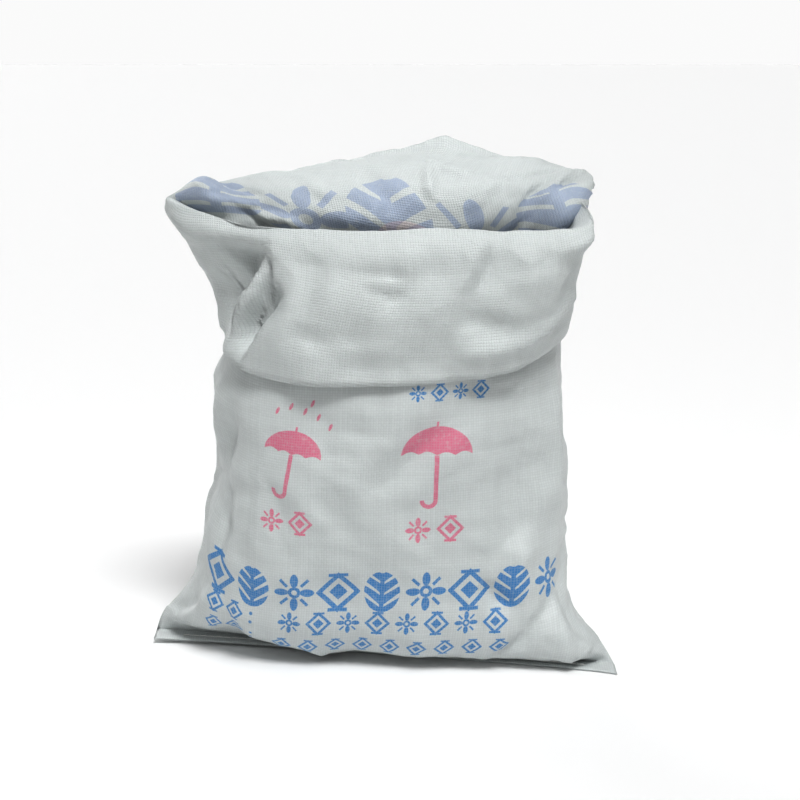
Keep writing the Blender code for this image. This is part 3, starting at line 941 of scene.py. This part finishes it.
def cloth_colour_with_painted_shade(shader, weave, colour):
    """The tapes' colour, with each tape's own tone, a soft unevenness, and painted shade that darkens the
    weave's grooves.
    """
    uneven = shader.cloud(weave.uv, 9.0, 3.0)
    # Painted shade: where the weave's relief is lower, at the tapes' edges and where they dip, the colour
    # is darker
    tone_and_painted_shade = 0.84 + 0.05 * weave.tone + 0.14 * weave.height + 0.05 * (uneven - 0.5)
    dark = tuple(0.78 * c for c in colour)
    light = tuple(min(1.0, 1.04 * c) for c in colour)
    return shader.mix((tone_and_painted_shade - 0.78) / 0.26, dark, light)


def fine_creases(shader, weave):
    """Small sharp creases in the sheet, raised along the lines where a noise changes sign."""
    coarse = abs(shader.cloud(weave.uv, 20.0, 1.0) - 0.5)
    small = abs(shader.cloud(weave.uv, 60.0, 1.0) - 0.5)
    return coarse * -0.0050 + small * 0.0012


def printed_side(sizes, colours):
    """The outside: a thin glossy film over the weave, printed in blue and pink."""
    shader = Shader("printed_side")
    weave = Weave(shader, sizes.tape_width)
    cloth = cloth_colour_with_painted_shade(shader, weave, tuple(colours.cloth))
    blue, pink = front_print(weave.across, weave.along)
    back_blue, disc = back_print(weave.across, weave.along)
    blue_ink = worn(shader, weave, blue.higher(back_blue), 0.22)
    pink_ink = worn(shader, weave, pink.higher(disc), 0.30)
    colour = shader.mix(blue_ink, cloth, tuple(colours.blue_ink))
    colour = shader.mix(pink_ink * 0.94, colour, tuple(colours.pink_ink))
    shader.set("Base Color", colour)
    streaks = shader.cloud(shader.vector(weave.across * 0.25, weave.along), 420.0, 3.0)
    shader.set("Roughness", 0.36 + 0.14 * streaks - 0.05 * weave.tone)
    relief = weave.height * 0.00030 + streaks * 0.00016 + fine_creases(shader, weave)
    shader.set("Normal", shader.bump(relief, 1.0, 0.75))
    finish_cloth_surface(shader)
    return shader.material


def plain_side(sizes, colours):
    """The inside: bare tapes, with the back panel's print showing faintly through."""
    shader = Shader("plain_side")
    weave = Weave(shader, sizes.tape_width)
    cloth = cloth_colour_with_painted_shade(shader, weave, tuple(colours.cloth))
    blue, disc = back_print(weave.across, weave.along)
    seen_blue = worn(shader, weave, blue, 0.25)
    seen_pink = worn(shader, weave, disc, 0.30)
    colour = shader.mix(seen_blue * 0.62, cloth, tuple(colours.faded_blue))
    colour = shader.mix(seen_pink * 0.35, colour, tuple(colours.faded_pink))
    shader.set("Base Color", colour)
    shader.set("Roughness", 0.40 + 0.12 * weave.tone)
    relief = weave.height * 0.00060 + fine_creases(shader, weave)
    shader.set("Normal", shader.bump(relief, 1.0, 0.85))
    finish_cloth_surface(shader)
    return shader.material


def finish_cloth_surface(shader):
    shader.set("Specular IOR Level", 0.45)
    shader.set("Subsurface Weight", 0.25)
    shader.set("Subsurface Radius", (1.0, 1.0, 1.0))
    shader.set("Subsurface Scale", 0.0015)


def powder_material(colours):
    """Fine pale mineral powder with small lumps and grains, painted darker where its relief lies lower:
    painted shade in the hollows.
    """
    shader = Shader("mineral_powder")
    place = shader.node("ShaderNodeTexCoord", output=3)
    clumps = shader.cloud(place, 55.0, 4.0, 0.65)
    grains = shader.cloud(place, 900.0, 2.0, 0.6)
    light = tuple(colours.powder)
    dark = tuple(0.72 * c for c in light)
    # Painted shade: the same noises as the relief make the powder darker where it lies lower
    shader.set("Base Color", shader.mix((clumps * 0.6 + grains * 0.4).between(0.30, 0.62), dark, light))
    shader.set("Roughness", 0.86 + 0.10 * grains)
    shader.set("Normal", shader.bump(clumps * 0.004 + grains * 0.0006, 1.0, 0.8))
    shader.set("Specular IOR Level", 0.25)
    return shader.material


def thread_material(colours):
    """Twisted sewing thread: its plies run slantwise round each stitch, with painted shade in the grooves
    between them.
    """
    shader = Shader("sewing_thread")
    place = shader.node("ShaderNodeTexCoord", output=3)
    x, y, z = shader.parts(place)
    ply = ((x + y + z) * (2 * math.pi / 0.0016)).sine() * 0.5 + 0.5
    fuzz = shader.cloud(place, 1500.0, 2.0)
    light = tuple(colours.thread)
    dark = tuple(0.70 * c for c in light)
    # Painted shade: the colour follows the ply relief, darker in the grooves between plies
    shader.set("Base Color", shader.mix(ply * 0.7 + fuzz * 0.3, dark, light))
    shader.set("Roughness", 0.70 + 0.15 * fuzz)
    shader.set("Normal", shader.bump(ply * 0.0002, 1.0, 0.8))
    return shader.material


def look_at(thing, target):
    thing.rotation_euler = (target - thing.location).to_track_quat("-Z", "Y").to_euler()


def cloth_points(cloth):
    """The unfinished cloth's rings of points."""
    points = np.zeros(len(cloth.data.vertices) * 3)
    cloth.data.vertices.foreach_get("co", points)
    return points.reshape(-1, 2 * cloth["columns"], 3)


def make_powder(rings, shares):
    """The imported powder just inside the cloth's rings, with a loose, uneven top."""
    normals = surface_normals(rings)
    inner = rings - normals * POWDER_GAP
    wanted = (shares > POWDER_START) & (inner[:, :, 2].mean(axis=1) < POWDER_LEVEL)
    inner = inner[wanted]
    inner[:, :, 2] = np.clip(inner[:, :, 2], POWDER_GAP, POWDER_LEVEL)
    rim = inner[-1]
    middle = rim.mean(axis=0)
    levels = [inner]
    for share in POWDER_TOP_SHARES:
        ring = middle + (rim - middle) * share
        for point in ring:
            place = Vector(point)
            lumps = sum(noise.noise(place / size) * height for size, height in POWDER_LUMPS)
            level = POWDER_LEVEL - POWDER_EDGE_DROP + lumps * min(1.0, 6 * (1 - share))
            point[2] = level + POWDER_CROWN * (1 - share)
        levels.append(ring[None])
    points = np.concatenate(levels)
    count = points.shape[1]
    faces = [tuple(range(count))[::-1]]
    for k in range(len(points) - 1):
        for j in range(count):
            i = (j + 1) % count
            faces.append((k * count + j, k * count + i, (k + 1) * count + i, (k + 1) * count + j))
    last = (len(points) - 1) * count
    faces.append(tuple(range(last, last + count)))
    return object_from("powder_heap", points.reshape(-1, 3), faces)


def hem_stitches(sizes):
    """One chain stitch, modelled once and copied along the hem's upper side."""
    deselect_all()
    bpy.ops.mesh.primitive_uv_sphere_add(segments=8, ring_count=8, radius=1.0)
    first = bpy.context.active_object
    bpy.ops.object.mode_set(mode="EDIT")
    bpy.ops.mesh.select_all(action="SELECT")
    half, radius = sizes.stitch_length * STITCH_OVERLAP, sizes.thread_radius
    bpy.ops.transform.rotate(value=math.pi / 2, orient_axis="Y", center_override=(0, 0, 0))
    bpy.ops.transform.resize(value=(half, radius, radius), center_override=(0, 0, 0))
    bpy.ops.object.mode_set(mode="OBJECT")
    for vertex in first.data.vertices:
        vertex.co.z -= (vertex.co.x / half) ** 2 * radius
    shape = first.data.copy()
    line = hem_rings(sizes.panel_columns)
    columns = sizes.panel_columns
    seam, edge = line[-1][: columns + 1], line[0][: columns + 1]
    track = seam + (edge - seam) * STITCH_INSET / HEM_LENGTH
    travelled = np.concatenate([[0], np.cumsum(np.linalg.norm(np.diff(track, axis=0), axis=1))])
    count = int((travelled[-1] - 2 * STITCH_END) / sizes.stitch_length)
    copies = [first]
    for k in range(count):
        at = STITCH_END + (k + 0.5) * sizes.stitch_length
        here, there = (
            Vector([np.interp(place, travelled, track[:, axis]) for axis in range(3)])
            for place in (at - 0.002, at + 0.002)
        )
        heading = (there - here).normalized()
        side = Vector((0, 0, 1)).cross(heading).normalized()
        up = heading.cross(side)
        centre = (here + there) / 2 + Vector((0, 0, HEM_THICKNESS / 2 + radius * 0.6))
        copy = first
        if k:
            copy = first.copy()
            copy.data = shape.copy()
            bpy.context.scene.collection.objects.link(copy)
            copies.append(copy)
        slant = STITCH_SLANT * (-1) ** k
        for vertex, source in zip(copy.data.vertices, shape.vertices):
            x, y, z = source.co
            vertex.co = centre + heading * x + side * (y + slant * x / half) + up * z
    deselect_all()
    for copy in copies:
        copy.select_set(True)
    bpy.context.view_layer.objects.active = first
    bpy.ops.object.join()
    first.name = "hem_stitches"
    first.data.shade_smooth()
    return first


class SACK_OT_stage(bpy.types.Operator):
    """Add the pale floor, the soft lights and the camera"""

    bl_idname = "sack.stage"
    bl_label = "Studio"

    def execute(self, context):
        colours = context.scene.sack_colours
        deselect_all()
        bpy.ops.mesh.primitive_plane_add(size=80.0, location=(0.0, 0.0, 0.0))
        floor = context.active_object
        floor.name = "studio_floor"
        shader = Shader("studio_floor")
        shader.set("Base Color", (*colours.floor, 1.0))
        shader.set("Roughness", 0.9)
        floor.data.materials.append(shader.material)

        world = bpy.data.worlds.new("studio")
        world.use_nodes = True
        nodes, links = world.node_tree.nodes, world.node_tree.links
        background = nodes["Background"]
        background.inputs["Color"].default_value = (1.0, 1.0, 1.0, 1.0)
        # Bright low down, where the floor ends, and softer above
        direction = nodes.new("ShaderNodeTexCoord")
        split = nodes.new("ShaderNodeSeparateXYZ")
        fade = nodes.new("ShaderNodeMapRange")
        links.new(direction.outputs["Generated"], split.inputs[0])
        links.new(split.outputs["Z"], fade.inputs["Value"])
        limits = (*HORIZON_FADE, HORIZON_STRENGTH, SKY_STRENGTH)
        for name, value in zip(("From Min", "From Max", "To Min", "To Max"), limits):
            fade.inputs[name].default_value = value
        links.new(fade.outputs["Result"], background.inputs["Strength"])
        context.scene.world = world
        context.scene.view_settings.view_transform = "Standard"
        context.scene.view_settings.gamma = VIEW_GAMMA

        for name, direction, spread, strength in SUNS:
            light = bpy.data.lights.new(name, "SUN")
            light.angle = math.radians(spread)
            light.energy = strength
            lamp = bpy.data.objects.new(name, light)
            lamp.location = Vector(direction) * 3
            context.scene.collection.objects.link(lamp)
            look_at(lamp, Vector((0.0, 0.0, 0.0)))

        light = bpy.data.lights.new("top_lamp", "AREA")
        light.shape = "DISK"
        light.size = TOP_LAMP_WIDTH
        light.energy = TOP_LAMP_POWER
        lamp = bpy.data.objects.new("top_lamp", light)
        lamp.location = TOP_LAMP_PLACE
        lamp.visible_camera = False
        context.scene.collection.objects.link(lamp)
        look_at(lamp, Vector((0.0, 0.0, 0.4)))

        camera_data = bpy.data.cameras.new("camera")
        camera_data.lens = CAMERA_LENS
        camera_data.sensor_width = CAMERA_SENSOR
        camera = bpy.data.objects.new("camera", camera_data)
        context.scene.collection.objects.link(camera)
        back = Vector((0.0, -math.cos(CAMERA_HEIGHT_ANGLE), math.sin(CAMERA_HEIGHT_ANGLE)))
        camera.location = CAMERA_TARGET + back * CAMERA_DISTANCE
        look_at(camera, CAMERA_TARGET)
        context.scene.camera = camera
        return {"FINISHED"}


class SACK_OT_cloth(bpy.types.Operator):
    """Lay the woven cloth over the frame, with its hem, folds and turned-out mouth"""

    bl_idname = "sack.cloth"
    bl_label = "Woven Cloth and Powder"

    def execute(self, context):
        sizes, colours = context.scene.sack_sizes, context.scene.sack_colours
        cloth = make_cloth(sizes)
        cloth.data.materials.append(printed_side(sizes, colours))
        cloth.data.materials.append(plain_side(sizes, colours))
        shares = cloth_grid(sizes)[1]
        powder = make_powder(cloth_points(cloth), shares)
        powder.data.materials.append(powder_material(colours))
        finish_cloth(cloth, sizes)
        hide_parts("packed_powder")
        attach(powder, "root")
        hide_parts("woven_sack")
        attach(cloth, "root")
        return {"FINISHED"}


class SACK_OT_stitches(bpy.types.Operator):
    """Sew the chain stitches along the bottom hem"""

    bl_idname = "sack.stitches"
    bl_label = "Hem Stitches"

    def execute(self, context):
        sizes, colours = context.scene.sack_sizes, context.scene.sack_colours
        stitches = hem_stitches(sizes)
        stitches.data.materials.append(thread_material(colours))
        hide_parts("hem_thread")
        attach(stitches, "root")
        return {"FINISHED"}


class SACK_PT_panel(bpy.types.Panel):
    """The sack's pieces, sizes and colours"""

    bl_idname = "SACK_PT_panel"
    bl_label = "Woven Sack"
    bl_space_type = "VIEW_3D"
    bl_region_type = "UI"
    bl_category = "Sack"

    def draw(self, context):
        for operator in STEPS:
            self.layout.operator(operator.bl_idname)
        for group in (context.scene.sack_sizes, context.scene.sack_colours):
            box = self.layout.box()
            for name in group.__annotations__:
                box.prop(group, name)


STEPS = (SACK_OT_stage, SACK_OT_cloth, SACK_OT_stitches)
CLASSES = (SackSizes, SackColours, *STEPS, SACK_PT_panel)


def register():
    for each in CLASSES:
        bpy.utils.register_class(each)
    bpy.types.Scene.sack_sizes = PointerProperty(type=SackSizes)
    bpy.types.Scene.sack_colours = PointerProperty(type=SackColours)


def unregister():
    del bpy.types.Scene.sack_colours
    del bpy.types.Scene.sack_sizes
    for each in reversed(CLASSES):
        bpy.utils.unregister_class(each)


def main():
    register()
    bpy.ops.sack.stage()
    bpy.ops.sack.cloth()
    bpy.ops.sack.stitches()


if __name__ == "__main__":
    main()
